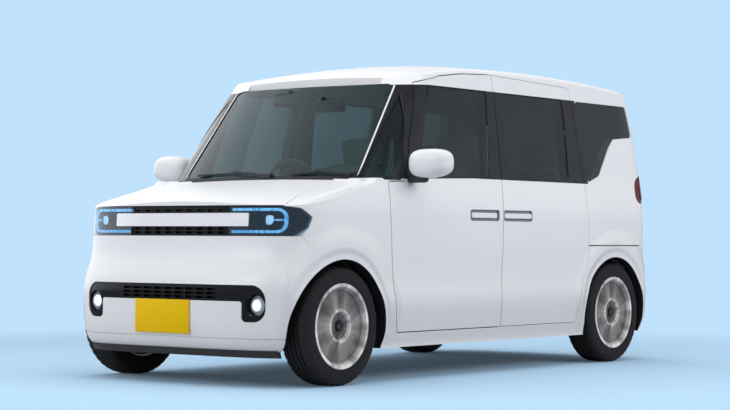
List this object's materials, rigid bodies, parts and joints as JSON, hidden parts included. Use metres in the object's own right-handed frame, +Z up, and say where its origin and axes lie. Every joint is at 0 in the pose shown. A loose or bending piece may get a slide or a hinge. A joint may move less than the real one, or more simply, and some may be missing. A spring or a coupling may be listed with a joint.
{
  "type": "kei car",
  "caption": "Tall small electric wagon with hinged front doors, sliding rear doors, a lifting bonnet and tailgate, steered front wheels and turning wheels.",
  "frame": {"origin": "centre of the footprint on the ground", "axes": "+X to the car's left, +Y to its rear, +Z up; the front faces -Y"},
  "size_m": [1.9354, 3.3952, 1.6319],
  "materials": {
    "paint": "pearl white gloss paint",
    "black_trim": "black gloss and satin trim",
    "dark_plastic": "black textured plastic",
    "lamp_clear": "clear lamp cover over a light guide",
    "lamp_red": "red lamp lens",
    "silver_trim": "silver painted plastic",
    "light_guide": "clear light guide",
    "fog_lens": "clear round lens",
    "glass": "green tinted glass",
    "tyre": "tyre rubber",
    "rim": "brushed silver",
    "steel_black": "black coated steel",
    "battery": "cast case",
    "seat_cloth": "light woven cloth",
    "dash": "soft grained plastic",
    "floor": "painted steel",
    "wheel_trim": "grained plastic"
  },
  "bodies": {
    "body": {"body_side_left": "paint", "body_side_right": "paint", "roof_panel": "paint", "cowl": "dark_plastic", "floor_pan": "floor", "fenders": "paint", "front_bumper": "paint", "rear_bumper": "paint", "grilles": "black_trim", "headlamps": "lamp_clear", "nose_bar": "silver_trim", "light_guides": "light_guide", "lamp_lenses": "fog_lens", "tail_lamps": "lamp_red", "slide_doors": "paint", "windscreen": "glass", "side_glass": "glass", "wipers": "dark_plastic", "wheel_housings": "dark_plastic", "battery_pack": "battery", "drive_unit": "battery", "front_subframe": "steel_black", "rear_axle": "steel_black", "front_seats": "seat_cloth", "rear_seat": "seat_cloth", "dashboard": "dash", "pillar_hoops": "floor"},
    "bonnet": {"bonnet": "paint"},
    "tailgate": {"tailgate": "paint", "tailgate_glass": "glass"},
    "door_left": {"door_left": "paint", "door_glass_left": "glass", "mirror_left": "paint"},
    "door_right": {"door_right": "paint", "door_glass_right": "glass", "mirror_right": "paint"},
    "knuckle_left": {"knuckle_left": "steel_black"},
    "knuckle_right": {"knuckle_right": "steel_black"},
    "steering_wheel": {"steering_wheel": "wheel_trim"},
    "wheel_front_left": {"tyre_front_left": "tyre", "rim_front_left": "rim"},
    "wheel_front_right": {"tyre_front_right": "tyre", "rim_front_right": "rim"},
    "wheel_rear_left": {"tyre_rear_left": "tyre", "rim_rear_left": "rim"},
    "wheel_rear_right": {"tyre_rear_right": "tyre", "rim_rear_right": "rim"}
  },
  "joints": [
    {"name": "steering", "type": "hinge", "parent": "body", "child": "steering_wheel", "pos_m": [-0.34, -0.33, 0.955], "axis": [0, 0.9063, 0.4226], "range_deg": [-525, 525]},
    {"name": "steer_left", "type": "hinge", "parent": "body", "child": "knuckle_left", "pos_m": [0.585, -1.274, 0.281], "axis": [0, 0, 1], "range_deg": [-35, 35]},
    {"name": "steer_right", "type": "hinge", "parent": "body", "child": "knuckle_right", "pos_m": [-0.585, -1.274, 0.281], "axis": [0, 0, 1], "range_deg": [-35, 35]},
    {"name": "roll_front_left", "type": "hinge", "parent": "knuckle_left", "child": "wheel_front_left", "pos_m": [0.64, -1.274, 0.281], "axis": [1, 0, 0], "continuous": true},
    {"name": "roll_front_right", "type": "hinge", "parent": "knuckle_right", "child": "wheel_front_right", "pos_m": [-0.64, -1.274, 0.281], "axis": [1, 0, 0], "continuous": true},
    {"name": "roll_rear_left", "type": "hinge", "parent": "body", "child": "wheel_rear_left", "pos_m": [0.64, 1.221, 0.281], "axis": [1, 0, 0], "continuous": true},
    {"name": "roll_rear_right", "type": "hinge", "parent": "body", "child": "wheel_rear_right", "pos_m": [-0.64, 1.221, 0.281], "axis": [1, 0, 0], "continuous": true},
    {"name": "door_left_hinge", "type": "hinge", "parent": "body", "child": "door_left", "pos_m": [0.7275, -0.935, 0.6], "axis": [0, 0, -1], "range_deg": [0, 68]},
    {"name": "door_right_hinge", "type": "hinge", "parent": "body", "child": "door_right", "pos_m": [-0.7275, -0.935, 0.6], "axis": [0, 0, 1], "range_deg": [0, 68]},
    {"name": "bonnet_hinge", "type": "hinge", "parent": "body", "child": "bonnet", "pos_m": [0, -1.0355, 0.992], "axis": [-1, 0, 0], "range_deg": [0, 55]},
    {"name": "tailgate_hinge", "type": "hinge", "parent": "body", "child": "tailgate", "pos_m": [0, 1.48, 1.6], "axis": [1, 0, 0], "range_deg": [0, 80]}
  ],
  "couplings": [
    {"joint": "steer_left", "follows": "steering", "ratio": 0.066667},
    {"joint": "steer_right", "follows": "steering", "ratio": 0.066667}
  ]
}
